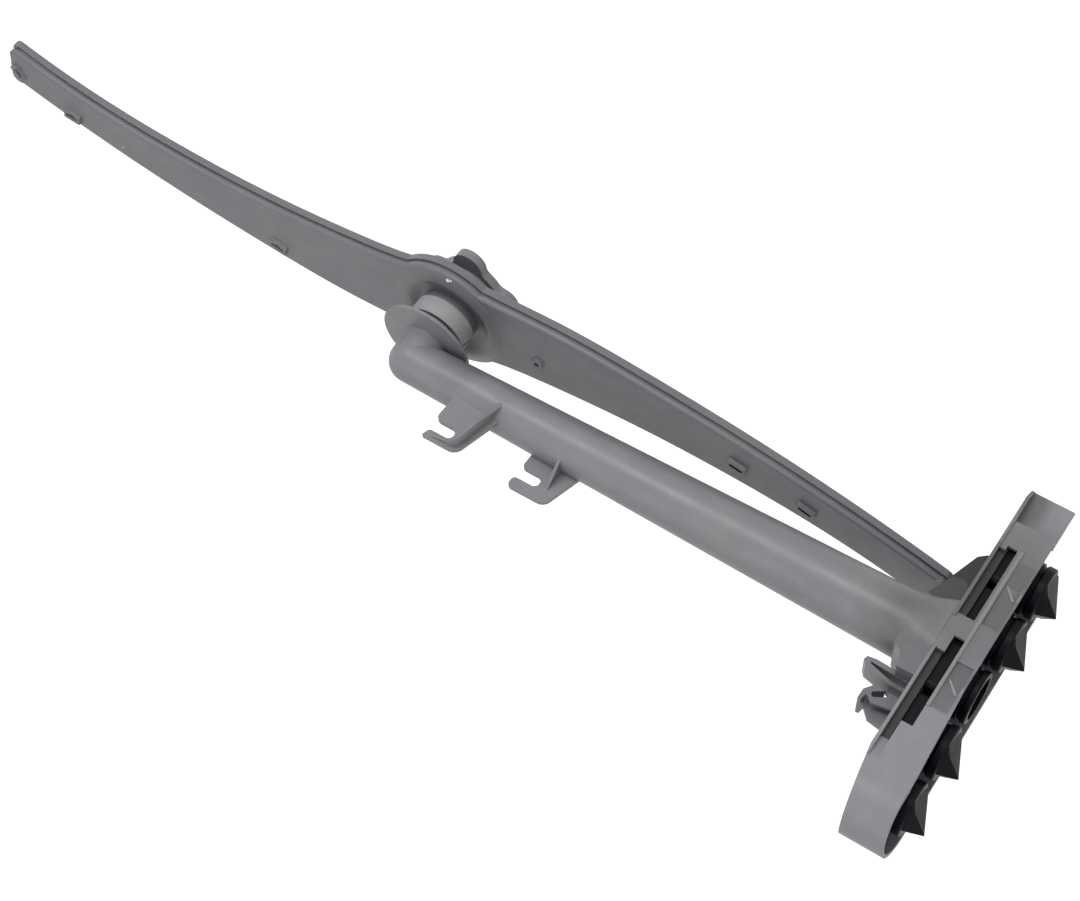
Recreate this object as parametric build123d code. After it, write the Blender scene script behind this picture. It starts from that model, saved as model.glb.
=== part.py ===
from build123d import *
import math
import os

# Driving sizes, in millimetres and degrees. The part is drawn about the spray arm's axis, with +X
# along the pipe towards the dock and +Z up in use. The last step moves it to the docking port.

# Spray arm
ARM_REACH = 230.0
ARM_TURN = -3.9
ARM_UNDERSIDE = -2.9
ARM_TOP = 3.8
GROOVE_LOW = 0.5
GROOVE_HIGH = 1.6
UPPER_INSET = 0.6
GROOVE_DEPTH = 1.3
SHELL_WALL = 1.4
RIM_WIDTH = 2.4
HUB_RADIUS = 28.5
EDGE_ROUND = 0.9
LIP_ROUND = 1.3
LEADING_ROOT = ((12.0, 24.6), (20.7, 25.3))
LEADING_EDGE = ((0.2, 27.9), (0.4, 27.9), (0.6, 24.6), (0.8, 18.3), (0.985, 9.2))
TRAILING_EDGE = ((0.98, -12.4), (0.8, -4.2), (0.6, -1.9), (0.4, -4.4), (0.2, -11.6))
TRAILING_ROOT = ((27.6, -16.0), (18.4, -19.4))
DISH_RADIUS = 21.2
DISH_FLOOR_RADIUS = 17.0
DISH_DEPTH = 3.0
SLOT_JETS = ((0.593, 9.7, -8), (0.730, 6.5, -12), (-0.856, -11.0, 176), (-0.380, -21.0, 171))
TIP_JET = (-0.978, -0.9, 118)
ROUND_JET = (0.189, 1.9)

# Hub
SPIGOT_RADIUS = 9.0
SPIGOT_BORE = 7.2
RUNNING_GAP = 0.05
ASSEMBLY_GAP = 0.1
BUSH_WALL = 1.2
BUSH_TOP = 13.2
BUSH_LIP = 0.7
BOSS_WALL = 1.3
COLLAR_SEAT = 5.4
COLLAR_TOP = 14.0
COLLAR_WALL = 1.7
COLLAR_SLIT = 1.3
COLLAR_SLIT_ANGLE = -9.0
COLLAR_SLIT_LEAN = -28.0
BOWL_DEPTH = 4.7
BOWL_RADIUS = 19.0
SKIRT_DEPTH = 1.7
SKIRT_RADIUS = 24.0
BOWL_FOOT_RADIUS = 15.5
WASHER_THICKNESS = 1.0
WASHER_RADIUS = 14.6
FLANGE_RADIUS = 20.4
FLANGE_LOW = 18.9
FLANGE_THICKNESS = 1.4
LUG_RADIUS = 12.4
LUG_LOW = 14.6
LUG_WIDTH = 8.0
LUG_ANGLES = (71.0, 191.0, 311.0)

# Hub nut
NUT_LOBES = 4
NUT_LOBE_CIRCLE = 15.0
NUT_LOBE_RADIUS = 6.8
NUT_LOBE_HEIGHT = 3.9
NUT_BARREL_RADIUS = 12.6
NUT_FLOOR = 1.5
SPIGOT_END = -14.0

# Supply pipe
PIPE_AXIS_HEIGHT = 30.2
PIPE_RADIUS_HUB = 9.3
PIPE_TAPER = 4.25 / 230.0
PIPE_WALL = 1.8
SWELL_LENGTH = 15.0

# Dock
DOCK_BACK = 240.4
DOCK_NEAR_DEPTH = 18.2
DOCK_TOP_DEPTH = 20.4
DOCK_FAR_DEPTH = 22.8
DOCK_HALF_WIDTH = 16.1
DOCK_WALL = 1.6
NEAR_WALL_STEP = 0.8
END_SLOPE = ((0.0, -28.0), (1.2, -19.5), (2.6, -10.5), (4.2, 0.5))
TONGUE_REACH = 17.8
TONGUE_INSET = 3.6
PORT_PITCH = 25.7
PORT_COUNT = 5
MAIN_PORT = 2
PORT_ABOVE_PIPE = 12.85
ABOVE_TOP_PORT = 20.6
BELOW_LOW_PORT = 13.8
MOUTH_RADIUS = 8.8
MOUTH_FORWARD = 22.2

TOP_PORT_HEIGHT = PIPE_AXIS_HEIGHT + PORT_ABOVE_PIPE + MAIN_PORT * PORT_PITCH
DOCK_TOP = TOP_PORT_HEIGHT + ABOVE_TOP_PORT
DOCK_LOW_END = TOP_PORT_HEIGHT - (PORT_COUNT - 1) * PORT_PITCH - BELOW_LOW_PORT
MOUTH_X = DOCK_BACK + MOUTH_FORWARD

# Plates in the dock, and what follows from them
LIP = 0.9
BACK_PLATE = 1.8
CHANNEL = 1.8
SEAL_BASE = 6.4
PORT_PLATE = 2.2
PLATE_INSET = DOCK_WALL + ASSEMBLY_GAP
PLATE_LOW = DOCK_LOW_END + DOCK_WALL + ASSEMBLY_GAP
BACK_FACE = DOCK_BACK + 0.8
SEAL_BACK = BACK_FACE + BACK_PLATE + CHANNEL
PORT_PLATE_BACK = SEAL_BACK + SEAL_BASE

# Port seals
SEAL_NECK = 10.0
SEAL_BARREL = 10.9
SEAL_WALL = 1.6
SEAL_BASE_HALF_WIDTH = 12.8
SEAL_BASE_GAP = 1.9
BEAK_SHOULDER = MOUTH_X + 1.0
BEAK_TIP_X = BEAK_SHOULDER + 7.8
BEAK_TIP_RISE = 6.8
BEAK_TAIL_X = BEAK_SHOULDER + 0.4
BEAK_TAIL_DROP = -10.4
BEAK_LIP_HALF = 0.5

OUT = "parts"
os.makedirs(OUT, exist_ok=True)

UP_FROM = (Align.CENTER, Align.CENTER, Align.MIN)
NUT_TOP = ARM_UNDERSIDE - BOWL_DEPTH - RUNNING_GAP - WASHER_THICKNESS


def port_height(index):
    return TOP_PORT_HEIGHT - index * PORT_PITCH


def pipe_radius(x):
    return PIPE_RADIUS_HUB + PIPE_TAPER * x


def along_x(x, y, z, shape):
    """Turns a shape drawn along +Z so that it runs along +X from the point given."""
    return Location((x, y, z), (0, 90, 0)) * shape


def box(x0, x1, y0, y1, z0, z1):
    return Pos((x0 + x1) / 2, (y0 + y1) / 2, (z0 + z1) / 2) * Box(x1 - x0, y1 - y0, z1 - z0)


def disc(radius, z0, z1):
    return Pos(0, 0, z0) * Cylinder(radius, z1 - z0, align=UP_FROM)


def ring(outer, inner, z0, z1):
    return disc(outer, z0, z1) - disc(inner, z0, z1)


def corner_face(corners):
    """A flat face from corners; a corner with a third value is rounded to that radius."""
    face = make_face(Polyline([corner[:2] for corner in corners], close=True))
    for corner in corners:
        if len(corner) == 3:
            vertex = face.vertices().sort_by_distance(Vector(corner[0], corner[1]))[0]
            face = fillet(vertex, corner[2])
    return face


def side_plate(corners, y0, y1):
    """A plate that stands in the XZ plane, between two Y values."""
    return Plane.XZ.offset(-y1) * extrude(corner_face(corners), amount=y1 - y0, dir=(0, 0, 1))


def end_plate(corners, x0, x1):
    """A plate that stands in the YZ plane, between two X values."""
    return Plane.YZ.offset(x0) * extrude(corner_face(corners), amount=x1 - x0, dir=(0, 0, 1))


def flat_plate(corners, z0, z1):
    return Pos(0, 0, z0) * extrude(corner_face(corners), amount=z1 - z0, dir=(0, 0, 1))


# Spray arm outline and shells

def blade_outline(inset):
    """One blade's plan, from the hub axis to the slanted tip."""
    lead = [(x, y - inset) for x, y in LEADING_ROOT]
    lead += [(ARM_REACH * share, y - inset) for share, y in LEADING_EDGE]
    trail = [(ARM_REACH * share, y + inset) for share, y in TRAILING_EDGE]
    trail += [(x, y + inset) for x, y in TRAILING_ROOT]
    lead[-1] = (lead[-1][0] - inset, lead[-1][1])
    trail[0] = (trail[0][0] - inset, trail[0][1])
    tip_near = (ARM_REACH - inset, 4.3)
    tip_far = (ARM_REACH * 0.993 - inset, trail[0][1] + 1.2)
    edge = Spline(lead)
    corner = ThreePointArc(lead[-1], (ARM_REACH * 0.9965 - inset, 7.6 - inset * 0.3), tip_near)
    end = Line(tip_near, tip_far)
    far_corner = Line(tip_far, trail[0])
    back = Spline(trail)
    closing = Polyline(trail[-1], (0, 0), lead[0])
    return make_face(Curve() + [edge, corner, end, far_corner, back, closing])


def arm_outline(inset):
    blade = blade_outline(inset)
    return Circle(HUB_RADIUS - inset) + blade + Rot(0, 0, 180) * blade


def arm_slab(inset, z0, z1):
    return Pos(0, 0, z0) * extrude(arm_outline(inset), amount=z1 - z0)


def long_edges(face):
    """The blade and hub edges of a slab's face, without the short ones at the tips."""
    return [e for e in face.edges() if e.length > HUB_RADIUS]


def slot_nozzle(x, y, angle, length=9.0, width=5.6, rise=1.5, slit=1.5):
    """A raised jet with one open end: the block to add and the slit to cut."""
    block = Pos(0, 0, ARM_TOP - 0.4) * extrude(
        RectangleRounded(length, width, 1.0), amount=rise + 0.4, taper=12)
    ramp = Pos(0, -width / 2, ARM_TOP + rise) * Rot(34, 0, 0) * Box(length * 1.2, width * 1.1, rise * 1.5)
    cut = Pos(0, -width * 0.12, ARM_TOP) * Rot(-24, 0, 0) * Box(length - 3.0, slit, 12)
    place = Location((x, y, 0), (0, 0, angle))
    return place * (block - ramp), place * cut


def make_upper_shell():
    shell = arm_slab(UPPER_INSET, GROOVE_HIGH, ARM_TOP)
    shell = fillet(long_edges(shell.faces().sort_by(Axis.Z)[-1]), LIP_ROUND)
    shell += arm_slab(GROOVE_DEPTH, GROOVE_LOW, GROOVE_HIGH)
    shell -= arm_slab(RIM_WIDTH + GROOVE_DEPTH, GROOVE_LOW, ARM_TOP - SHELL_WALL)
    dish_floor = ARM_TOP - DISH_DEPTH
    boss_radius = SPIGOT_RADIUS + RUNNING_GAP + BUSH_WALL + ASSEMBLY_GAP + BOSS_WALL
    collar_radius = boss_radius + ASSEMBLY_GAP + COLLAR_WALL
    shell += disc(DISH_RADIUS + 2.2, dish_floor - SHELL_WALL, ARM_TOP - EDGE_ROUND)
    dish = Pos(0, 0, dish_floor) * Cone(DISH_FLOOR_RADIUS, DISH_RADIUS, DISH_DEPTH, align=UP_FROM)
    dish = fillet(dish.edges().filter_by(GeomType.CIRCLE).sort_by(Axis.Z)[0], 2.4)
    shell -= dish
    rim = shell.edges().filter_by(GeomType.CIRCLE).filter_by(
        lambda e: abs(e.radius - DISH_RADIUS) < 0.1 and e.center().Z > ARM_TOP - 0.1)
    shell = fillet(rim, 2.6)
    shell += disc(collar_radius - 0.5, dish_floor - SHELL_WALL, COLLAR_SEAT)
    shell += disc(boss_radius, COLLAR_SEAT, BUSH_TOP - BUSH_LIP)
    shell -= disc(boss_radius - BOSS_WALL, ARM_UNDERSIDE, COLLAR_TOP + 1)
    for share, y, angle in SLOT_JETS:
        block, cut = slot_nozzle(ARM_REACH * share, y, angle)
        shell += block
        shell -= cut
    share, y, angle = TIP_JET
    block, cut = slot_nozzle(ARM_REACH * share, y, angle, length=8.0, rise=1.2)
    shell += block
    shell -= cut
    share, y = ROUND_JET
    shell += Pos(ARM_REACH * share, y, ARM_TOP - 0.3) * Cone(3.4, 2.6, 1.3, align=UP_FROM)
    shell -= Pos(ARM_REACH * share, y, 0) * disc(1.2, GROOVE_HIGH, ARM_TOP + 2)
    return shell


def make_lower_shell():
    shell = arm_slab(0, ARM_UNDERSIDE, GROOVE_LOW)
    shell = fillet(long_edges(shell.faces().sort_by(Axis.Z)[0]), EDGE_ROUND)
    foot = ARM_UNDERSIDE - BOWL_DEPTH
    shell += Pos(0, 0, foot) * Cone(BOWL_FOOT_RADIUS, BOWL_RADIUS, BOWL_DEPTH + 0.4, align=UP_FROM)
    shell += Pos(0, 0, ARM_UNDERSIDE - SKIRT_DEPTH) * Cone(
        SKIRT_RADIUS, HUB_RADIUS - EDGE_ROUND, SKIRT_DEPTH + 0.3, align=UP_FROM)
    shell -= arm_slab(RIM_WIDTH, ARM_UNDERSIDE + SHELL_WALL, GROOVE_LOW)
    shell -= Pos(0, 0, foot + SHELL_WALL) * Cone(
        BOWL_FOOT_RADIUS - SHELL_WALL, BOWL_RADIUS - SHELL_WALL, BOWL_DEPTH + 0.4, align=UP_FROM)
    shell -= disc(SPIGOT_RADIUS + RUNNING_GAP, foot - 1, ARM_TOP)
    for side in (0, 180):
        for station in (0.34, 0.62):
            post = disc(1.6, ARM_UNDERSIDE + 0.5, GROOVE_LOW)
            shell += Rot(0, 0, side) * Pos(ARM_REACH * station, 10, 0) * post
    return shell


# Hub pieces

def make_bearing_bush():
    inner = SPIGOT_RADIUS + RUNNING_GAP
    low = ARM_TOP - DISH_DEPTH - SHELL_WALL
    sleeve = ring(inner + BUSH_WALL, inner, low, BUSH_TOP)
    return sleeve + ring(inner + BUSH_WALL + ASSEMBLY_GAP + BOSS_WALL, inner, BUSH_TOP - BUSH_LIP, BUSH_TOP)


def make_collar_ring():
    inner = SPIGOT_RADIUS + RUNNING_GAP + BUSH_WALL + 2 * ASSEMBLY_GAP + BOSS_WALL
    collar = ring(inner + COLLAR_WALL, inner, COLLAR_SEAT, COLLAR_TOP)
    low_edges = collar.edges().filter_by(GeomType.CIRCLE).group_by(Axis.Z)[0]
    collar = chamfer(low_edges.sort_by(SortBy.RADIUS)[-1], 0.6)
    middle = (COLLAR_SEAT + COLLAR_TOP) / 2
    slit = Location((inner, 0, middle), (COLLAR_SLIT_LEAN, 0, 0)) * Box(
        4 * COLLAR_WALL, COLLAR_SLIT, 2 * COLLAR_TOP)
    return collar - Rot(0, 0, COLLAR_SLIT_ANGLE) * slit


def make_thrust_washer():
    return ring(WASHER_RADIUS, SPIGOT_RADIUS + ASSEMBLY_GAP, NUT_TOP, NUT_TOP + WASHER_THICKNESS)


def make_hub_nut():
    bottom = SPIGOT_END - NUT_FLOOR
    nut = disc(NUT_BARREL_RADIUS, bottom, NUT_TOP)
    grip = Circle(NUT_LOBE_CIRCLE)
    for place in PolarLocations(NUT_LOBE_CIRCLE, NUT_LOBES):
        grip += place * Circle(NUT_LOBE_RADIUS)
    grip = fillet(grip.vertices(), 4.0)
    nut += Pos(0, 0, bottom) * extrude(grip, amount=NUT_LOBE_HEIGHT)
    return nut - disc(SPIGOT_RADIUS + ASSEMBLY_GAP, SPIGOT_END, NUT_TOP + 1)


# Supply pipe

def hook(corners, slot_low, slot_high, slot_end, mouth, y0, y1):
    """A basket hook: a plate that runs round one slot, open towards the hub, with a rounded end."""
    radius = 0.48 * (slot_high - slot_low)
    slot = ((slot_end, slot_low, radius), (slot_end, slot_high, radius))
    before, after = corners[:mouth], corners[mouth:]
    return side_plate(before + slot + after, y0, y1)


def make_hooks():
    root = 3.0
    wide = hook(((27.2, root), (26.2, 20.8, 3.0), (27.2, 25.8, 1.6), (25.8, 29.7, 0.6), (41.9, 29.7, 5.0),
                 (50.0, root)), 20.8, 25.8, 37.0, 2, 3.7, 5.5)
    rim = side_plate(((26.0, 28.4), (41.0, 28.4, 4.2), (47.4, root), (46.0, root), (39.8, 27.1, 3.0),
                      (26.1, 27.1)), 3.8, 13.0)
    rim &= flat_plate(((27, 3.7), (27, 5.6), (30, 5.9), (36, 7.6), (40.0, 10.6), (43.4, 11.4), (47.6, 9.2),
                       (47.6, 3.7)), root - 1, 31)
    thin = hook(((64.2, root), (63.9, 16.5, 2.2), (63.2, 21.4, 2.0), (63.4, 26.5, 2.2), (80.7, 26.4, 4.5),
                 (88.2, root)), 16.5, 21.4, 74.0, 2, -6.0, -4.4)
    brace = end_plate(((-5.0, 20.8), (-5.0, root), (4.0, root), (4.3, 9.7)), 77.0, 78.3)
    return wide + rim + thin + brace


def make_latch():
    """The sprung leaf and the barbed latch that stand beside the pipe at the dock."""
    back = DOCK_BACK + 1
    base = side_plate(((227.8, 5.0, 2.0), (227.4, 14.3), (231.2, 17.8), (232.6, 23), (back, 23),
                       (back, 5.0)), -7.0, 12.6)
    leaf = side_plate(((back, 21.4), (224.0, 20.8), (220.6, 21.4), (220.0, 23.2), (221.6, 25),
                       (233.0, 27.6), (back, 27.6), (back, 26), (233.0, 26), (222.9, 23.4),
                       (222.9, 22.7), (234.0, 23.2), (back, 23.2)), -5.0, 5.0)
    latch = side_plate(((back, 31.4), (234.0, 31.4), (229.0, 30.4), (225.9, 34.4), (225.8, 38.6),
                        (227.2, 38.6), (227.8, 36), (231.0, 34.2), (back, 33.8)), -6.0, 6.0)
    latch += side_plate(((227.6, 35.4), (233.0, 31.0), (back, 31.0), (back, 36.0), (231.0, 38.0)), 4.4, 6.0)
    latch -= Location((232.2, 3, 33.2), (90, 0, 0)) * Rot(0, 0, -32) * extrude(
        SlotOverall(6.4, 2.4), amount=8, both=True)
    web = side_plate(((228.2, 34.4), (228.6, 38.4), (232.0, 42), (back, 43.4), (back, 32.8), (231.0, 32.8)),
                     -1.0, 1.0)
    return base + leaf + latch + web


def make_gussets():
    back = DOCK_BACK + 1
    low = -8.0
    near = side_plate(((225.4, low), (232.4, -22.6, 2.0), (237.6, -23.2, 3.0), (back, -18.6), (back, low)),
                      8.0, 9.6)
    far = side_plate(((223.0, low), (234.2, -40.6, 2.0), (237.4, -43.4, 1.5), (back, -43.4), (back, low)),
                     -2.4, -0.8)
    return near + far


def dock_plan(inset, low):
    """The dock's outline in the YZ plane as a face: round at the top, square below."""
    half = DOCK_HALF_WIDTH - inset
    centre = DOCK_TOP - DOCK_HALF_WIDTH
    sides = Polyline((0, half, centre), (0, half, low), (0, -half, low), (0, -half, centre))
    top = ThreePointArc((0, -half, centre), (0, 0, centre + half), (0, half, centre))
    return make_face(Curve() + [sides, top])


def dock_slab(inset, low, x0, x1):
    return Pos(x0, 0, 0) * extrude(dock_plan(inset, low), amount=x1 - x0, dir=(1, 0, 0))


def end_slope(shift, depth):
    """The side outline of the dock's back edge at its round end, where it leans in."""
    line = [(DOCK_BACK + shift + x, DOCK_TOP + z) for x, z in END_SLOPE]
    return line + [(x - depth, z) for x, z in reversed(line)]


def make_supply_pipe():
    swell_start = DOCK_BACK - SWELL_LENGTH
    pipe = along_x(0, 0, PIPE_AXIS_HEIGHT,
                   Cone(PIPE_RADIUS_HUB, pipe_radius(DOCK_BACK), DOCK_BACK, align=UP_FROM))
    pipe += Pos(0, 0, PIPE_AXIS_HEIGHT) * Sphere(PIPE_RADIUS_HUB)
    half = DOCK_HALF_WIDTH - 0.2
    round_end = Plane(origin=(swell_start, 0, PIPE_AXIS_HEIGHT), x_dir=(0, 1, 0), z_dir=(1, 0, 0)) * Circle(
        pipe_radius(swell_start) - 0.2)
    square_end = Plane(origin=(DOCK_BACK - ASSEMBLY_GAP, 0, PIPE_AXIS_HEIGHT), x_dir=(0, 1, 0),
                       z_dir=(1, 0, 0)) * RectangleRounded(2 * half, 2 * half, 10.0)
    pipe += loft([round_end, square_end])
    pipe += along_x(DOCK_BACK - 1, 0, PIPE_AXIS_HEIGHT,
                    disc(DOCK_HALF_WIDTH - PLATE_INSET - LIP - ASSEMBLY_GAP, 0, 3))
    flange_top = FLANGE_LOW + FLANGE_THICKNESS
    pipe += disc(PIPE_RADIUS_HUB, flange_top, PIPE_AXIS_HEIGHT)
    pipe += disc(FLANGE_RADIUS, FLANGE_LOW, flange_top)
    pipe += disc(SPIGOT_RADIUS, SPIGOT_END, FLANGE_LOW)
    for angle in LUG_ANGLES:
        lug = box(LUG_RADIUS / 2, LUG_RADIUS + 1, -LUG_WIDTH / 2, LUG_WIDTH / 2, LUG_LOW, FLANGE_LOW)
        pipe += Rot(0, 0, angle) * (lug & disc(LUG_RADIUS, LUG_LOW, FLANGE_LOW))
    back = dock_slab(PLATE_INSET, PLATE_LOW, BACK_FACE, BACK_FACE + BACK_PLATE)
    channel = dock_slab(PLATE_INSET, PLATE_LOW, BACK_FACE, SEAL_BACK)
    channel -= dock_slab(PLATE_INSET + 2.4, PLATE_LOW + 2.4, BACK_FACE, SEAL_BACK)
    set_in = BACK_FACE - DOCK_BACK
    in_dock = back + channel
    in_dock -= side_plate(end_slope(set_in, 9.0), -DOCK_HALF_WIDTH, DOCK_HALF_WIDTH)
    slope = side_plate(end_slope(set_in + BACK_PLATE, BACK_PLATE), -DOCK_HALF_WIDTH, DOCK_HALF_WIDTH)
    in_dock += slope & dock_slab(PLATE_INSET, DOCK_TOP - 12, BACK_FACE, PORT_PLATE_BACK)
    pipe += in_dock + Pos(0, 0, PIPE_AXIS_HEIGHT) * (make_hooks() + make_latch() + make_gussets())

    # Water way: down the pipe, round the elbow and out of the spigot's windows into the arm
    pipe -= along_x(0, 0, PIPE_AXIS_HEIGHT, Cone(
        PIPE_RADIUS_HUB - PIPE_WALL, pipe_radius(DOCK_BACK) - PIPE_WALL, DOCK_BACK + 5, align=UP_FROM))
    pipe -= Pos(0, 0, PIPE_AXIS_HEIGHT) * Sphere(PIPE_RADIUS_HUB - PIPE_WALL)
    pipe -= disc(SPIGOT_BORE, SPIGOT_END - 1, PIPE_AXIS_HEIGHT)
    window_low = ARM_UNDERSIDE - BOWL_DEPTH + SHELL_WALL + 0.6
    window_high = ARM_TOP - DISH_DEPTH - SHELL_WALL - 0.2
    for angle in (0, 90):
        pipe -= Rot(0, 0, angle) * box(-12, 12, -4, 4, window_low, window_high)
    return pipe


# Dock frame, port plate and seals

def make_dock_frame():
    axis = PIPE_AXIS_HEIGHT
    far_front = DOCK_BACK + DOCK_FAR_DEPTH
    near_front = DOCK_BACK + DOCK_NEAR_DEPTH
    top_front = DOCK_BACK + DOCK_TOP_DEPTH
    near_out = DOCK_HALF_WIDTH
    near_in = near_out - DOCK_WALL
    frame = dock_slab(0, DOCK_LOW_END, DOCK_BACK, far_front)
    frame += dock_slab(-0.7, DOCK_LOW_END, DOCK_BACK, DOCK_BACK + 1.3) & box(
        DOCK_BACK, far_front, -20, 20, DOCK_LOW_END, DOCK_TOP - DOCK_HALF_WIDTH - 8)
    frame -= dock_slab(DOCK_WALL, DOCK_LOW_END + DOCK_WALL, DOCK_BACK, far_front)
    frame += dock_slab(DOCK_WALL - 0.01, DOCK_LOW_END + 0.01, DOCK_BACK, BACK_FACE) - dock_slab(
        PLATE_INSET + LIP, PLATE_LOW + LIP, DOCK_BACK, BACK_FACE)
    stop = PORT_PLATE_BACK + PORT_PLATE
    frame += dock_slab(DOCK_WALL - 0.01, DOCK_LOW_END + 0.01, stop, stop + 1.0) - dock_slab(
        PLATE_INSET + LIP, PLATE_LOW + LIP, stop, stop + 1.0)

    # The open side leans back across the dock, and again along the near wall; the round end leans in
    lean = math.degrees(math.atan2(far_front - top_front, 2 * near_out))
    frame -= Location((top_front, near_out, axis), (0, 0, lean)) * Pos(20, 0, 0) * Box(40, 80, 200)
    frame -= side_plate(((near_front, DOCK_LOW_END - 1), (near_front, axis + 20),
                         (top_front, DOCK_TOP - 20), (far_front, DOCK_TOP - 20),
                         (far_front, DOCK_LOW_END - 1)), near_in - 0.02, near_out + 2)
    frame -= side_plate(end_slope(0, 9.0), -near_out - 2, near_out + 2)
    frame -= box(stop + 1.2, far_front + 1, -near_out - 1, near_in, DOCK_LOW_END - 1,
                 port_height(PORT_COUNT - 1) - 7)

    # Long openings in the near wall, each stepped at its end near the pipe
    rim_in = DOCK_BACK + 1.3
    slot_a = (axis + 2.6, axis + 43.0, DOCK_BACK + 4.8, DOCK_BACK + 9.2)
    slot_b = (axis - 41.2, axis - 6.4, DOCK_BACK + 3.9, DOCK_BACK + 8.0)
    notch_low, notch_high = axis - 3.2, axis + 10.4
    for z0, z1, x0, x1 in (slot_a, slot_b):
        frame -= box(x0, x1, near_in - 1, near_out + 2, z0, z1)
    frame -= box(rim_in, slot_a[2] + 0.01, near_in - 1, near_out + 2, notch_high, slot_a[1] + 3)
    frame -= end_plate(((near_in - 1, slot_a[1] + 2.9), (near_out + 2, slot_a[1] + 2.9),
                        (near_out + 2, slot_a[1] + 19), (near_out, slot_a[1] + 17)),
                       rim_in, slot_a[2] + 0.01)
    frame -= box(rim_in, slot_b[2] + 0.01, near_in - 1, near_out + 2, slot_b[0] + 2, slot_b[1])
    frame -= box(DOCK_BACK - 1, rim_in + 0.1, near_out, near_out + 2, slot_b[1] + 1.5, notch_high)

    # Panels with sloping floors beside a long raised rib, each crossed by a slanted rib
    rib_x = DOCK_BACK + 9.2
    for shallow, deep, rib_low, rib_high in ((axis - 38.0, axis - 6.8, axis - 25.6, axis - 21.0),
                                             (axis + 33.0, axis + 11.4, axis + 19.6, axis + 23.8)):
        frame -= end_plate(((near_out + 1, shallow), (near_out, shallow), (near_out - 1.0, deep),
                            (near_out + 1, deep)), rib_x + 1.4, near_front - 0.9)
        frame += side_plate(((rib_x + 1.9, rib_low), (rib_x + 2.9, rib_low - 0.3), (rib_x + 7.7, rib_high),
                             (rib_x + 6.8, rib_high + 0.4)), near_out - 1.2, near_out - 0.1)
    frame += box(rib_x, rib_x + 1.4, near_out - 0.5, near_out + 0.5, slot_b[0] - 0.4, axis + 33.0)

    # Guide tongue beyond the low end, set back from the near wall
    tongue_face = near_out - TONGUE_INSET
    near_end = DOCK_LOW_END + NEAR_WALL_STEP
    tongue_end = near_end - TONGUE_REACH
    tongue = box(DOCK_BACK, near_front, tongue_face - DOCK_WALL, tongue_face, tongue_end,
                 DOCK_LOW_END + DOCK_WALL)
    rail = end_plate(((tongue_face - DOCK_WALL, near_end + 0.6), (near_out + 0.7, near_end + 0.6),
                      (near_out + 0.7, tongue_end + 5.7), (tongue_face + 0.5, tongue_end),
                      (tongue_face - DOCK_WALL, tongue_end)), DOCK_BACK, DOCK_BACK + 1.4)
    return frame + tongue + rail


def make_port_plate():
    plate = dock_slab(PLATE_INSET, PLATE_LOW, PORT_PLATE_BACK, PORT_PLATE_BACK + PORT_PLATE)
    for k in range(PORT_COUNT):
        plate -= along_x(PORT_PLATE_BACK, 0, port_height(k), disc(SEAL_NECK + ASSEMBLY_GAP, -1, 4))
    return plate


def cut_side(shape, point, along, across, outward):
    """Keeps the part of a shape that lies behind the plane through a point and two directions."""
    normal = Vector(*along).cross(Vector(*across)).normalized()
    if normal.dot(Vector(*outward)) < 0:
        normal = normal * -1
    return split(shape, bisect_by=Plane(origin=point, z_dir=normal), keep=Keep.BOTTOM)


def beak(radius, shrink):
    """The slanted lips of a port valve, drawn about the port's axis at height zero."""
    form = along_x(0, 0, 0, disc(radius, BEAK_SHOULDER - 1.5, BEAK_TIP_X + 2))
    tip = (BEAK_TIP_X - 1.4 * shrink, 0, BEAK_TIP_RISE - 0.6 * shrink)
    tail = (BEAK_TAIL_X - 0.6 * shrink, 0, BEAK_TAIL_DROP + shrink)
    lip = (tip[0] - tail[0], 0, tip[2] - tail[2])
    form = cut_side(form, tip, lip, (0, 1, 0), (1, 0, 0))
    for side in (1, -1):
        form = cut_side(form, tip, (-7.8, 0, 2.4), (0, side, -0.45), (0, 0, 1))
    for side in (1, -1):
        edge = (tip[0], side * BEAK_LIP_HALF * (1 - 0.6 * shrink), tip[2])
        flank = (BEAK_SHOULDER - 0.6 - tip[0], side * radius - edge[1], -tip[2])
        form = cut_side(form, edge, lip, flank, (0, side, 0))
    return form


def seal_body():
    """Base box, neck in the port plate and ribbed barrel, common to every port."""
    base_z = (PORT_PITCH - SEAL_BASE_GAP) / 2
    base = box(SEAL_BACK, PORT_PLATE_BACK, -SEAL_BASE_HALF_WIDTH, SEAL_BASE_HALF_WIDTH, -base_z, base_z)
    base = fillet(base.edges().filter_by(Axis.X), 3.0)
    base -= box(SEAL_BACK, PORT_PLATE_BACK - SEAL_WALL, -SEAL_BASE_HALF_WIDTH + SEAL_WALL,
                SEAL_BASE_HALF_WIDTH - SEAL_WALL, -base_z + SEAL_WALL, base_z - SEAL_WALL)
    front = PORT_PLATE_BACK + PORT_PLATE
    shoulder = front + 6.4
    body = base + along_x(0, 0, 0, disc(SEAL_NECK, PORT_PLATE_BACK - 0.5, shoulder + 0.2))
    return body + along_x(0, 0, 0, disc(SEAL_BARREL, front, front + 5.2)), shoulder


def make_valve_seal(index):
    body, shoulder = seal_body()
    lip = along_x(0, 0, 0, disc(SEAL_BARREL, shoulder, BEAK_SHOULDER))
    body += fillet(lip.edges().filter_by(GeomType.CIRCLE), 0.7)
    body += beak(SEAL_NECK - 0.2, 0)
    body -= along_x(0, 0, 0, disc(SEAL_NECK - SEAL_WALL - 0.3, PORT_PLATE_BACK - 3, BEAK_SHOULDER - 1.2))
    body -= beak(SEAL_NECK - 1.6, 1)
    return Pos(0, 0, port_height(index)) * body


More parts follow.
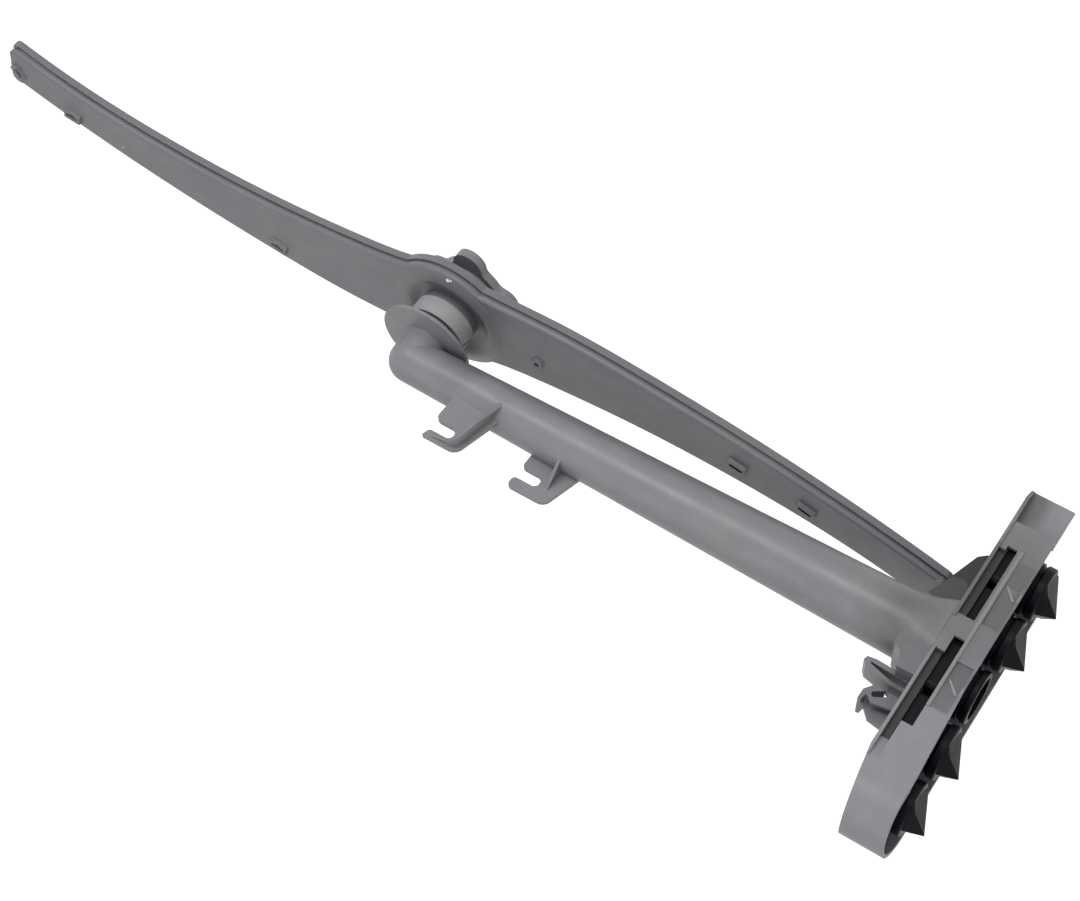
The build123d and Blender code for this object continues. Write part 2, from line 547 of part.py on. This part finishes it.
def make_open_seal(index):
    body, shoulder = seal_body()
    lip = along_x(0, 0, 0, disc(SEAL_BARREL, shoulder, MOUTH_X))
    body += fillet(lip.edges().filter_by(GeomType.CIRCLE), 0.7)
    body -= along_x(0, 0, 0, disc(MOUTH_RADIUS, PORT_PLATE_BACK - 3, MOUTH_X + 1))
    return Pos(0, 0, port_height(index)) * body


TO_PORT = Pos(-MOUTH_X, 0, -port_height(MAIN_PORT))
TURN = Rot(0, 0, ARM_TURN)

PIECES = {
    "supply_pipe": make_supply_pipe(),
    "dock_frame": make_dock_frame(),
    "port_plate": make_port_plate(),
    "arm_upper_shell": TURN * make_upper_shell(),
    "arm_lower_shell": TURN * make_lower_shell(),
    "bearing_bush": make_bearing_bush(),
    "collar_ring": make_collar_ring(),
    "thrust_washer": make_thrust_washer(),
    "hub_nut": make_hub_nut(),
}
for k in range(PORT_COUNT):
    maker = make_open_seal if k == MAIN_PORT else make_valve_seal
    PIECES["port_seal_%d" % (k + 1)] = maker(k)

for name, solid in PIECES.items():
    export_step(TO_PORT * solid, "%s/%s.step" % (OUT, name))
    print(name, len(solid.solids()), round(solid.volume))
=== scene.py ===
import math

import bpy
from mathutils import Matrix, Vector


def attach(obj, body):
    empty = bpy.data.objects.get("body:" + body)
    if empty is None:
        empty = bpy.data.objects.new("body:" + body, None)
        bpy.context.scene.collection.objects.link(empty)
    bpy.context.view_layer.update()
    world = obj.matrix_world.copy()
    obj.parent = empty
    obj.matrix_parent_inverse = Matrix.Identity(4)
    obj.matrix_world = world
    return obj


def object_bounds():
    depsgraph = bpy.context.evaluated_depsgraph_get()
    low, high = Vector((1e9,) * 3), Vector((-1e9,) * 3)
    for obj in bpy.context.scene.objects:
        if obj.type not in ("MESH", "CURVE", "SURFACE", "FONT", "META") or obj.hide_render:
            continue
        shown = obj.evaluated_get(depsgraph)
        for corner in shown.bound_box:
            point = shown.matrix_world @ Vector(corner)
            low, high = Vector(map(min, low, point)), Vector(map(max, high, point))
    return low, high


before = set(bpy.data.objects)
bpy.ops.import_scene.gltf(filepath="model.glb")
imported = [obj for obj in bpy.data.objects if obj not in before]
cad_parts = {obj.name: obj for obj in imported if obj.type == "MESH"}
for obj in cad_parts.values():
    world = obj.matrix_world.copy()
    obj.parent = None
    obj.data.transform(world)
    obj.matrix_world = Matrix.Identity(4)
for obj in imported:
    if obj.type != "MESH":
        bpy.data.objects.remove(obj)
cad_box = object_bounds()
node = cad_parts

# Supply pipe. One grey polypropylene moulding: tapered pipe, elbow, hub flange, basket hooks, latch
# and the back plate of the dock. It left the mould with a fine eroded skin, washing has dulled it
# unevenly, painted shade darkens its end, gussets, back plate, latch and elbow and the floors seen
# through the dock's slots, and its edges are painted pale, partly as rubbed nicks and partly as
# painted highlight.
MM = 0.001
PIPE_COLOR = (0.2233, 0.2194, 0.2373)
SATIN = 0.4
PLASTIC_IOR = 1.49

# Marks per metre in the plastic, from its broad patches to its grain
TONE_PATCHES = 22.0
CLOUDS = 60.0
GLOSS_PATCHES = 75.0
FLOW_MARKS = 170.0
CHIPS = 420.0
GRAIN = 1500.0

GRAIN_DEPTH = 0.05 * MM
WAVE_DEPTH = 0.6 * MM
EDGE_ROUNDING = 0.35 * MM
# Pale colour for edges, partly nicks and partly painted highlight
PALE_EDGE_AND_HIGHLIGHT = (0.42, 0.42, 0.42)
ALONG_X = (0.5, 1.0, 1.0)
ALONG_Z = (1.0, 1.0, 0.4)


def blank_finish(name):
    material = bpy.data.materials.new(name)
    material.use_nodes = True
    nodes, links = material.node_tree.nodes, material.node_tree.links
    return material, nodes, links, nodes["Principled BSDF"]


def mottle(nodes, links, place, marks, detail=4.0, roughness=0.55):
    """Uneven marks on the piece's own coordinates. Returns their value socket."""
    texture = nodes.new("ShaderNodeTexNoise")
    texture.inputs["Scale"].default_value = marks
    texture.inputs["Detail"].default_value = detail
    texture.inputs["Roughness"].default_value = roughness
    links.new(place, texture.inputs["Vector"])
    return texture.outputs["Fac"]


def graded(nodes, links, value, low, high, at_low, at_high):
    """Goes from one value to another while its input goes from low to high, and stops there."""
    mapping = nodes.new("ShaderNodeMapRange")
    mapping.inputs["From Min"].default_value = low
    mapping.inputs["From Max"].default_value = high
    mapping.inputs["To Min"].default_value = at_low
    mapping.inputs["To Max"].default_value = at_high
    links.new(value, mapping.inputs["Value"])
    return mapping.outputs["Result"]


def share_of(nodes, links, first, second):
    product = nodes.new("ShaderNodeMath")
    product.operation = "MULTIPLY"
    links.new(first, product.inputs[0])
    links.new(second, product.inputs[1])
    return product.outputs[0]


def tinted(nodes, links, share, first, second):
    """Lays a second colour over the first by a share. Each is a tuple or a socket."""
    mixer = nodes.new("ShaderNodeMix")
    mixer.data_type = "RGBA"
    links.new(share, mixer.inputs["Factor"])
    for socket, value in ((mixer.inputs["A"], first), (mixer.inputs["B"], second)):
        if isinstance(value, tuple):
            socket.default_value = (*value, 1.0)
        else:
            links.new(value, socket)
    return mixer.outputs["Result"]


def shade(color, factor, warmth=0.0):
    """A colour made lighter or darker, and warmer or cooler."""
    red, green, blue = (part * factor for part in color)
    return red * (1 + warmth), green, blue * (1 - warmth)


def place_step(nodes, links, operation, first, second=None):
    """One step of vector arithmetic. The second input is a vector, a socket or nothing."""
    step = nodes.new("ShaderNodeVectorMath")
    step.operation = operation
    links.new(first, step.inputs[0])
    if isinstance(second, Vector):
        step.inputs[1].default_value = second
    elif second is not None:
        links.new(second, step.inputs[1])
    plain_number = operation in ("LENGTH", "DOT_PRODUCT")
    return step.outputs["Value" if plain_number else "Vector"]


def around(nodes, links, place, centre, reach, soft=0.5):
    """1 near a point of the part, in millimetres, fading to 0 at its reach along X, Y and Z."""
    away = place_step(nodes, links, "SUBTRACT", place, Vector(centre) * MM)
    away = place_step(nodes, links, "DIVIDE", away, Vector(reach) * MM)
    far = place_step(nodes, links, "LENGTH", away)
    return graded(nodes, links, far, 1.0 - soft, 1.0, 1.0, 0.0)


def inside(nodes, links, place, low, high, soft=1.0):
    """1 inside a box of the part, in millimetres, fading to 0 at its sides."""
    low, high = Vector(low) * MM, Vector(high) * MM
    away = place_step(nodes, links, "SUBTRACT", place, (low + high) / 2)
    away = place_step(nodes, links, "ABSOLUTE", away)
    parts = nodes.new("ShaderNodeSeparateXYZ")
    links.new(away, parts.inputs[0])
    share = None
    for half, output in zip((high - low) / 2, parts.outputs):
        near = graded(nodes, links, output, half - soft * MM, half, 1.0, 0.0)
        share = near if share is None else share_of(nodes, links, share, near)
    return share


def rounded_edges(nodes):
    """Normals that round the moulded edges, so that they catch the light."""
    rounding = nodes.new("ShaderNodeBevel")
    rounding.samples = 4
    rounding.inputs["Radius"].default_value = EDGE_ROUNDING
    return rounding.outputs["Normal"]


def raised(nodes, links, height, strength, depth, normal):
    """A shallow relief over the normals given."""
    relief = nodes.new("ShaderNodeBump")
    relief.inputs["Strength"].default_value = strength
    relief.inputs["Distance"].default_value = depth
    links.new(height, relief.inputs["Height"])
    links.new(normal, relief.inputs["Normal"])
    return relief.outputs["Normal"]


def moulded_plastic(name, color, rough, stains_and_shade=(), flow_axis=ALONG_X, pale_edge_share=0.5):
    """Grey plastic: cloudy tone, flow marks, stains, painted shade, pale edges and an eroded skin.

    Each real stain and each patch of painted shade is a function that says where it lies, its
    numbers, and its share and colour. The edges are painted pale, partly as nicks and partly as
    painted highlight."""
    material, nodes, links, shader = blank_finish(name)
    place = nodes.new("ShaderNodeTexCoord").outputs["Object"]
    stretch = nodes.new("ShaderNodeMapping")
    stretch.inputs["Scale"].default_value = flow_axis
    links.new(place, stretch.inputs["Vector"])
    patch = mottle(nodes, links, place, TONE_PATCHES, 2.0, 0.5)
    cloud = mottle(nodes, links, place, CLOUDS, 5.0, 0.62)
    flow = mottle(nodes, links, stretch.outputs["Vector"], FLOW_MARKS, 3.0, 0.6)
    grain = mottle(nodes, links, place, GRAIN, 2.0, 0.7)
    chip = mottle(nodes, links, place, CHIPS, 2.0, 0.6)

    cool_to_warm = graded(nodes, links, patch, 0.38, 0.62, 0.0, 1.0)
    tone = tinted(nodes, links, cool_to_warm, shade(color, 0.99, -0.022), shade(color, 1.02, 0.03))
    layers = ((cloud, 0.3, 0.7, 0.5, 0.84),
              (flow, 0.5, 0.8, 0.5, 1.22),
              (grain, 0.35, 0.65, 0.2, 0.8))
    for marks, low, high, most, factor in layers:
        share = graded(nodes, links, marks, low, high, 0.0, most)
        tone = tinted(nodes, links, share, tone, shade(color, factor))
    # Real stains and painted shade, each laid over the tone in its own colour
    for where, numbers, share, shade_and_stain_colour in stains_and_shade:
        patchy = graded(nodes, links, cloud, 0.3, 0.6, 0.75 * share, share)
        cover = share_of(nodes, links, where(nodes, links, place, *numbers), patchy)
        tone = tinted(nodes, links, cover, tone, shade_and_stain_colour)

    # Edges are found where the rounded and the flat normals part
    rounding = rounded_edges(nodes)
    flat = nodes.new("ShaderNodeNewGeometry").outputs["Normal"]
    square = place_step(nodes, links, "DOT_PRODUCT", rounding, flat)
    edge = graded(nodes, links, square, 0.97, 0.8, 0.0, 1.0)
    # Pale edges: a thin painted highlight along every edge, and nicks where the chip marks rise
    worn_and_highlit = share_of(nodes, links, edge, graded(nodes, links, chip, 0.5, 0.62, 0.1, pale_edge_share))
    links.new(tinted(nodes, links, worn_and_highlit, tone, PALE_EDGE_AND_HIGHLIGHT), shader.inputs["Base Color"])

    gloss = mottle(nodes, links, place, GLOSS_PATCHES, 4.0, 0.6)
    dullness = graded(nodes, links, gloss, 0.3, 0.7, rough - 0.05, rough + 0.07)
    links.new(dullness, shader.inputs["Roughness"])
    skin = raised(nodes, links, grain, 0.22, GRAIN_DEPTH, rounding)
    waves = raised(nodes, links, cloud, 0.2, WAVE_DEPTH, skin)
    links.new(waves, shader.inputs["Normal"])
    shader.inputs["IOR"].default_value = PLASTIC_IOR
    return material


def dress(name, material):
    """Gives a carried-over solid its finish."""
    piece = node[name]
    piece.data.materials.clear()
    piece.data.materials.append(material)


# Painted shade: a dark grey for shaded pockets and recesses, and a near black for the deepest
SHADE_GREY = (0.042, 0.041, 0.046)
DEEP_SHADE = (0.009, 0.0088, 0.0105)
# Painted shade on the pipe's end, gussets, slot floors, back plate, latch and elbow
PIPE_END_SHADE = (around, ((-34.0, 12.0, -8.0), (24.0, 18.0, 28.0), 0.7), 0.45, SHADE_GREY)
NEAR_GUSSET_SHADE = (inside, ((-42.0, 7.0, -41.0), (-19.0, 11.5, -23.5), 1.2), 1.3, SHADE_GREY)
FAR_GUSSET_SHADE = (inside, ((-43.0, -4.5, -60.0), (-18.0, 0.8, -26.5), 1.2), 1.3, DEEP_SHADE)
LOWER_SLOT_FLOOR_SHADE = (inside, ((-23.0, 11.0, -60.0), (-12.0, 15.4, -17.0), 0.8), 1.3, DEEP_SHADE)
UPPER_SLOT_FLOOR_SHADE = (inside, ((-23.0, 11.0, -5.0), (-12.0, 15.4, 52.0), 0.8), 1.3, DEEP_SHADE)
BACK_PLATE_SHADE = (around, ((-25.0, 0.0, 12.0), (9.0, 15.0, 14.0)), 0.55, SHADE_GREY)
LATCH_SHADE = (around, ((-31.0, 2.0, 24.0), (15.0, 17.0, 15.0)), 0.35, SHADE_GREY)
ELBOW_SHADE = (around, ((-240.0, 6.0, -16.0), (12.0, 12.0, 12.0)), 0.25, SHADE_GREY)
PIPE_PAINTED_SHADE = (PIPE_END_SHADE, NEAR_GUSSET_SHADE, FAR_GUSSET_SHADE, LOWER_SLOT_FLOOR_SHADE,
               UPPER_SLOT_FLOOR_SHADE, BACK_PLATE_SHADE, LATCH_SHADE, ELBOW_SHADE)
dress("supply_pipe", moulded_plastic("pipe_plastic", PIPE_COLOR, SATIN, PIPE_PAINTED_SHADE))

# Dock frame and port plate. The frame is a paler moulding clipped over the pipe's back plate, and
# the darker plate behind its rim holds the seals. The near wall, its lower slot rim, its panels and
# its tongue carry painted shade, its long rib has yellowed, its two slanted ribs are rubbed pale,
# and its edges are painted pale, partly as nicks and partly as painted highlight.
DOCK_COLOR = (0.266, 0.261, 0.283)
DOCK_DULLNESS = 0.45
# Share of pale edge on the dock, partly nicks and partly painted highlight
DOCK_PALE_EDGES = 0.9
PLATE_SHADE = 0.6
PLATE_DULLNESS = 0.5
# Painted shade: a dark grey for the panels and lower slot rim, and a mid grey for the near wall
PANEL_SHADE = (0.105, 0.103, 0.11)
WALL_SHADE = (0.155, 0.153, 0.163)
YELLOWED = (0.27, 0.265, 0.248)
RUBBED = (0.33, 0.325, 0.335)
# Painted shade over the near wall's middle and lower end, on its lower slot rim and in both panels
NEAR_WALL_SHADE = (around, ((-12.0, 16.0, -30.0), (26.0, 9.0, 50.0), 0.5), 1.0, WALL_SHADE)
LOWER_SLOT_RIM_SHADE = (inside, ((-22.6, 10.0, -54.0), (-20.4, 18.0, -17.0), 0.8), 0.7, PANEL_SHADE)
UPPER_PANEL_SHADE = (inside, ((-12.4, 13.0, -1.8), (-3.8, 18.0, 20.5), 1.6), 0.85, PANEL_SHADE)
LOWER_PANEL_SHADE = (inside, ((-12.4, 13.0, -51.0), (-3.8, 18.0, -19.0), 1.6), 0.85, PANEL_SHADE)
LONG_RIB = (inside, ((-13.6, 14.0, -54.5), (-11.2, 18.0, 20.5), 0.7), 0.75, YELLOWED)
LOWER_SLANTED_RIB = (around, ((-8.2, 16.0, -36.1), (5.0, 0.4, 4.0), 0.3), 0.8, RUBBED)
UPPER_SLANTED_RIB = (around, ((-8.2, 16.0, 8.9), (5.0, 0.4, 4.0), 0.3), 0.8, RUBBED)
# Painted shade in the tongue's recess
TONGUE_SHADE = (around, ((-20.0, 12.0, -76.0), (9.0, 9.0, 14.0)), 0.6, SHADE_GREY)
SCUFF = (around, ((-12.0, 16.0, 31.0), (7.0, 4.0, 6.0)), 0.25, YELLOWED)
DOCK_STAINS_AND_SHADE = (NEAR_WALL_SHADE, LOWER_SLOT_RIM_SHADE, UPPER_PANEL_SHADE, LOWER_PANEL_SHADE, LONG_RIB,
               LOWER_SLANTED_RIB, UPPER_SLANTED_RIB, TONGUE_SHADE, SCUFF)
dress("dock_frame", moulded_plastic("dock_plastic", DOCK_COLOR, DOCK_DULLNESS, DOCK_STAINS_AND_SHADE,
                                    ALONG_Z, DOCK_PALE_EDGES))
dress("port_plate", moulded_plastic("port_plate_plastic", shade(DOCK_COLOR, PLATE_SHADE),
                                    PLATE_DULLNESS))

# Port seals. Five plugs of black moulded rubber with a faint blue cast, pressed through the port
# plate: satin on the lips, dull in the folds, and paler where they have bloomed.
RUBBER_COLOR = (0.0032, 0.0031, 0.0056)
BLOOM_SHADE = 1.8
BLOOM_PATCHES = 160.0
RUBBER_GRAIN = 2200.0
RUBBER_GRAIN_DEPTH = 0.04 * MM
RUBBER_SHEEN = 0.12
SEAL_COUNT = 5


def moulded_rubber():
    material, nodes, links, shader = blank_finish("seal_rubber")
    place = nodes.new("ShaderNodeTexCoord").outputs["Object"]
    bloom = mottle(nodes, links, place, BLOOM_PATCHES, 4.0, 0.6)
    grain = mottle(nodes, links, place, RUBBER_GRAIN, 2.0, 0.6)
    share = graded(nodes, links, bloom, 0.35, 0.75, 0.0, 1.0)
    tone = tinted(nodes, links, share, RUBBER_COLOR, shade(RUBBER_COLOR, BLOOM_SHADE))
    links.new(tone, shader.inputs["Base Color"])
    links.new(graded(nodes, links, bloom, 0.3, 0.7, 0.36, 0.5), shader.inputs["Roughness"])
    shader.inputs["Specular IOR Level"].default_value = RUBBER_SHEEN
    skin = raised(nodes, links, grain, 0.15, RUBBER_GRAIN_DEPTH, rounded_edges(nodes))
    links.new(skin, shader.inputs["Normal"])
    return material


seal_rubber = moulded_rubber()
for number in range(1, SEAL_COUNT + 1):
    dress("port_seal_%d" % number, seal_rubber)

# Spray arm. Two grey shells welded along their rim, with the jets moulded in the upper one and a
# raised crown round its dished hub. The jets' slits carry painted shade, the rim and crown have
# white nicks from the basket's wires, and the edges are painted pale, partly as nicks and partly as
# painted highlight.
HUB_PLACE = Vector((-262.6, 0.0, -43.05))
ARM_TOP = 3.8
ARM_COLOR = (0.159, 0.1565, 0.172)
# Share of pale edge on the arm, partly nicks and partly painted highlight
ARM_PALE_EDGES = 0.6
WHITE_NICK = (0.85, 0.85, 0.85)
NICK_SHARE = 0.95
SLIT_HEIGHT = 4.1
SLIT_REACH = (3.4, 1.1, 1.6)
SLIT_SHARE = 1.3

# The crown's closed outline as (radius, height): inner side, crest, outer side, underside
CROWN_OUTLINE = (
    (12.6, -2.0), (13.6, -2.1), (14.8, -2.0), (16.0, -1.7), (17.2, -1.2), (18.3, -0.55),
    (19.3, 0.1), (20.2, 0.65), (21.0, 0.98), (21.8, 1.1), (22.6, 1.06), (23.8, 0.85),
    (24.9, 0.54), (25.8, 0.25), (26.5, -0.02), (26.4, -0.35), (21.6, -0.6), (19.0, -1.9),
    (16.6, -3.3), (12.6, -3.3))
CROWN_STEPS = 180
CROWN_LOW_SIDE = 0.8
CROWN_SHARP = math.radians(35)


def turned_crown(name, centre):
    """A ring turned about a vertical axis, whose crest sinks on the side towards -X."""
    points, faces = [], []
    for step in range(CROWN_STEPS):
        angle = 2 * math.pi * step / CROWN_STEPS
        sunk = 1.0 - CROWN_LOW_SIDE * max(0.0, -math.cos(angle)) ** 1.5
        for radius, height in CROWN_OUTLINE:
            height = height * sunk if height > 0 else height
            spot = Vector((radius * math.cos(angle), radius * math.sin(angle), height))
            points.append((centre + spot) * MM)
    count = len(CROWN_OUTLINE)
    for step in range(CROWN_STEPS):
        here, there = step * count, (step + 1) % CROWN_STEPS * count
        for k in range(count):
            other = (k + 1) % count
            faces.append((here + k, there + k, there + other, here + other))
    mesh = bpy.data.meshes.new(name)
    mesh.from_pydata(points, [], faces)
    mesh.shade_smooth()
    mesh.set_sharp_from_angle(angle=CROWN_SHARP)
    crown = bpy.data.objects.new(name, mesh)
    bpy.context.scene.collection.objects.link(crown)
    return crown


def along(nodes, links, place, centre, reach, angle, soft=0.3):
    """Like around, with the reach turned by an angle about the vertical."""
    turned = nodes.new("ShaderNodeMapping")
    turned.vector_type = "TEXTURE"
    turned.inputs["Location"].default_value = Vector(centre) * MM
    turned.inputs["Rotation"].default_value = (0.0, 0.0, math.radians(angle))
    turned.inputs["Scale"].default_value = Vector(reach) * MM
    links.new(place, turned.inputs["Vector"])
    far = place_step(nodes, links, "LENGTH", turned.outputs["Vector"])
    return graded(nodes, links, far, 1.0 - soft, 1.0, 1.0, 0.0)


def slit(x, y, angle):
    """Painted shade for the inside of a jet's slit, at a place given from the hub's centre."""
    centre = HUB_PLACE + Vector((x, y, SLIT_HEIGHT))
    return along, (centre, SLIT_REACH, angle), SLIT_SHARE, DEEP_SHADE


def nick(x, y, z, size):
    """A nick in the rim or crown, at a place given from the hub's centre."""
    centre = HUB_PLACE + Vector((x, y, z))
    return around, (centre, (size, size, size), 0.3), NICK_SHARE, WHITE_NICK


# Painted shade in the five jets' slits, and white nicks in the rim and crown
ARM_SLIT_SHADE_AND_NICKS = (
    slit(136.6, -0.3, -11.9), slit(167.8, -5.6, -15.9), slit(-197.1, 3.1, 172.1),
    slit(-88.5, -14.4, 167.1), slit(-223.9, 14.7, 114.1),
    nick(1.8, 25.5, 4.2, 1.0), nick(3.2, 26.0, 4.0, 0.6), nick(56.7, 33.6, 3.8, 0.7),
    nick(-62.0, 21.5, 3.6, 0.8), nick(-170.7, -2.0, 3.8, 0.5))
arm_plastic = moulded_plastic("arm_plastic", ARM_COLOR, SATIN, ARM_SLIT_SHADE_AND_NICKS, pale_edge_share=ARM_PALE_EDGES)
for name in ("arm_upper_shell", "arm_lower_shell"):
    dress(name, arm_plastic)
crown = turned_crown("hub_crown", HUB_PLACE + Vector((0, 0, ARM_TOP)))
crown.data.materials.append(arm_plastic)
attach(crown, "arm")

# Hub. The bush, washer and four-lobed nut that carry the arm on the spigot are a harder plastic,
# turned and moulded. The split collar round them is painted paler than the rest of the hub, as
# painted light.
HUB_COLOR = (0.215, 0.212, 0.228)
# The collar is painted paler than the hub's other pieces, as painted light
COLLAR_PAINTED_LIGHT = (0.39, 0.385, 0.405)
hub_plastic = moulded_plastic("hub_plastic", HUB_COLOR, SATIN)
for name in ("bearing_bush", "thrust_washer", "hub_nut"):
    dress(name, hub_plastic)
dress("collar_ring", moulded_plastic("collar_plastic_painted_light", COLLAR_PAINTED_LIGHT, SATIN))

# Studio. A pale floor below the part, a white surround, two broad soft lamps, and the camera where
# the photographer stood, rolled as the picture is.
CAMERA_PLACE = Vector((96.30, 784.70, 394.63)) * MM
CAMERA_RIGHT = Vector((0.83591, -0.03176, -0.54795))
CAMERA_UP = Vector((-0.44998, 0.53199, -0.71729))
LENS = 78.67
SENSOR = 36.0
MIDDLE = Vector((-0.24, 0.0, 0.0))
STRIP_LAMP = {"place": (-0.5, 1.25, 0.05), "size": (0.9, 0.3), "watts": 7.1}
TOP_LAMP = {"place": (-0.6, 0.35, 1.2), "size": (1.2, 1.2), "watts": 3.3}
FLOOR_DROP = 120 * MM
FLOOR_SIZE = 6.0
FLOOR_COLOR = (0.6, 0.6, 0.6, 1.0)
FLOOR_ROUGHNESS = 0.9
FLOOR_GLOW = 0.75
ROOM_LIGHT = 0.56
WHITE = (1.0, 1.0, 1.0, 1.0)


def place_camera():
    lens = bpy.data.cameras.new("camera")
    lens.lens = LENS
    lens.sensor_width = SENSOR
    camera = bpy.data.objects.new("camera", lens)
    back = CAMERA_RIGHT.cross(CAMERA_UP)
    turn = Matrix((CAMERA_RIGHT, CAMERA_UP, back)).transposed()
    camera.matrix_world = Matrix.Translation(CAMERA_PLACE) @ turn.to_4x4()
    bpy.context.scene.collection.objects.link(camera)
    bpy.context.scene.camera = camera


def soft_lamp(name, place, size, watts):
    light = bpy.data.lights.new(name, "AREA")
    light.shape = "RECTANGLE"
    light.size, light.size_y = size
    light.energy = watts
    lamp = bpy.data.objects.new(name, light)
    lamp.location = place
    lamp.rotation_euler = (MIDDLE - lamp.location).to_track_quat("-Z", "Y").to_euler()
    bpy.context.scene.collection.objects.link(lamp)


def white_to_camera(nodes, links, lit, white):
    """Shows a white emission to camera, mirror and glass rays, and the lit surface to the rest."""
    path = nodes.new("ShaderNodeLightPath")
    seen = path.outputs["Is Camera Ray"]
    for ray in ("Is Glossy Ray", "Is Transmission Ray"):
        either = nodes.new("ShaderNodeMath")
        either.operation = "MAXIMUM"
        links.new(seen, either.inputs[0])
        links.new(path.outputs[ray], either.inputs[1])
        seen = either.outputs[0]
    mixer = nodes.new("ShaderNodeMixShader")
    links.new(seen, mixer.inputs["Fac"])
    links.new(lit, mixer.inputs[1])
    links.new(white, mixer.inputs[2])
    return mixer.outputs[0]


def lay_floor():
    mesh = bpy.data.meshes.new("floor")
    half = FLOOR_SIZE / 2
    level = cad_box[0].z - FLOOR_DROP
    corners = [(-half, -half, level), (half, -half, level),
               (half, half, level), (-half, half, level)]
    mesh.from_pydata(corners, [], [(0, 1, 2, 3)])
    floor = bpy.data.objects.new("floor", mesh)
    bpy.context.scene.collection.objects.link(floor)
    material, nodes, links, shader = blank_finish("floor")
    shader.inputs["Base Color"].default_value = FLOOR_COLOR
    shader.inputs["Roughness"].default_value = FLOOR_ROUGHNESS
    shader.inputs["Specular IOR Level"].default_value = 0.0
    glow = nodes.new("ShaderNodeEmission")
    glow.inputs["Color"].default_value = WHITE
    glow.inputs["Strength"].default_value = FLOOR_GLOW
    both = nodes.new("ShaderNodeAddShader")
    links.new(shader.outputs[0], both.inputs[0])
    links.new(glow.outputs[0], both.inputs[1])
    surface = white_to_camera(nodes, links, shader.outputs[0], both.outputs[0])
    links.new(surface, nodes["Material Output"].inputs["Surface"])
    mesh.materials.append(material)


def light_room():
    world = bpy.data.worlds.new("surround")
    bpy.context.scene.world = world
    world.use_nodes = True
    nodes, links = world.node_tree.nodes, world.node_tree.links
    ambient = nodes["Background"]
    ambient.inputs["Color"].default_value = WHITE
    ambient.inputs["Strength"].default_value = ROOM_LIGHT
    white = nodes.new("ShaderNodeBackground")
    white.inputs["Color"].default_value = WHITE
    white.inputs["Strength"].default_value = 1.0
    surface = white_to_camera(nodes, links, ambient.outputs[0], white.outputs[0])
    links.new(surface, nodes["World Output"].inputs["Surface"])


place_camera()
lay_floor()
light_room()
soft_lamp("strip", **STRIP_LAMP)
soft_lamp("above", **TOP_LAMP)
bpy.context.scene.view_settings.view_transform = "Standard"
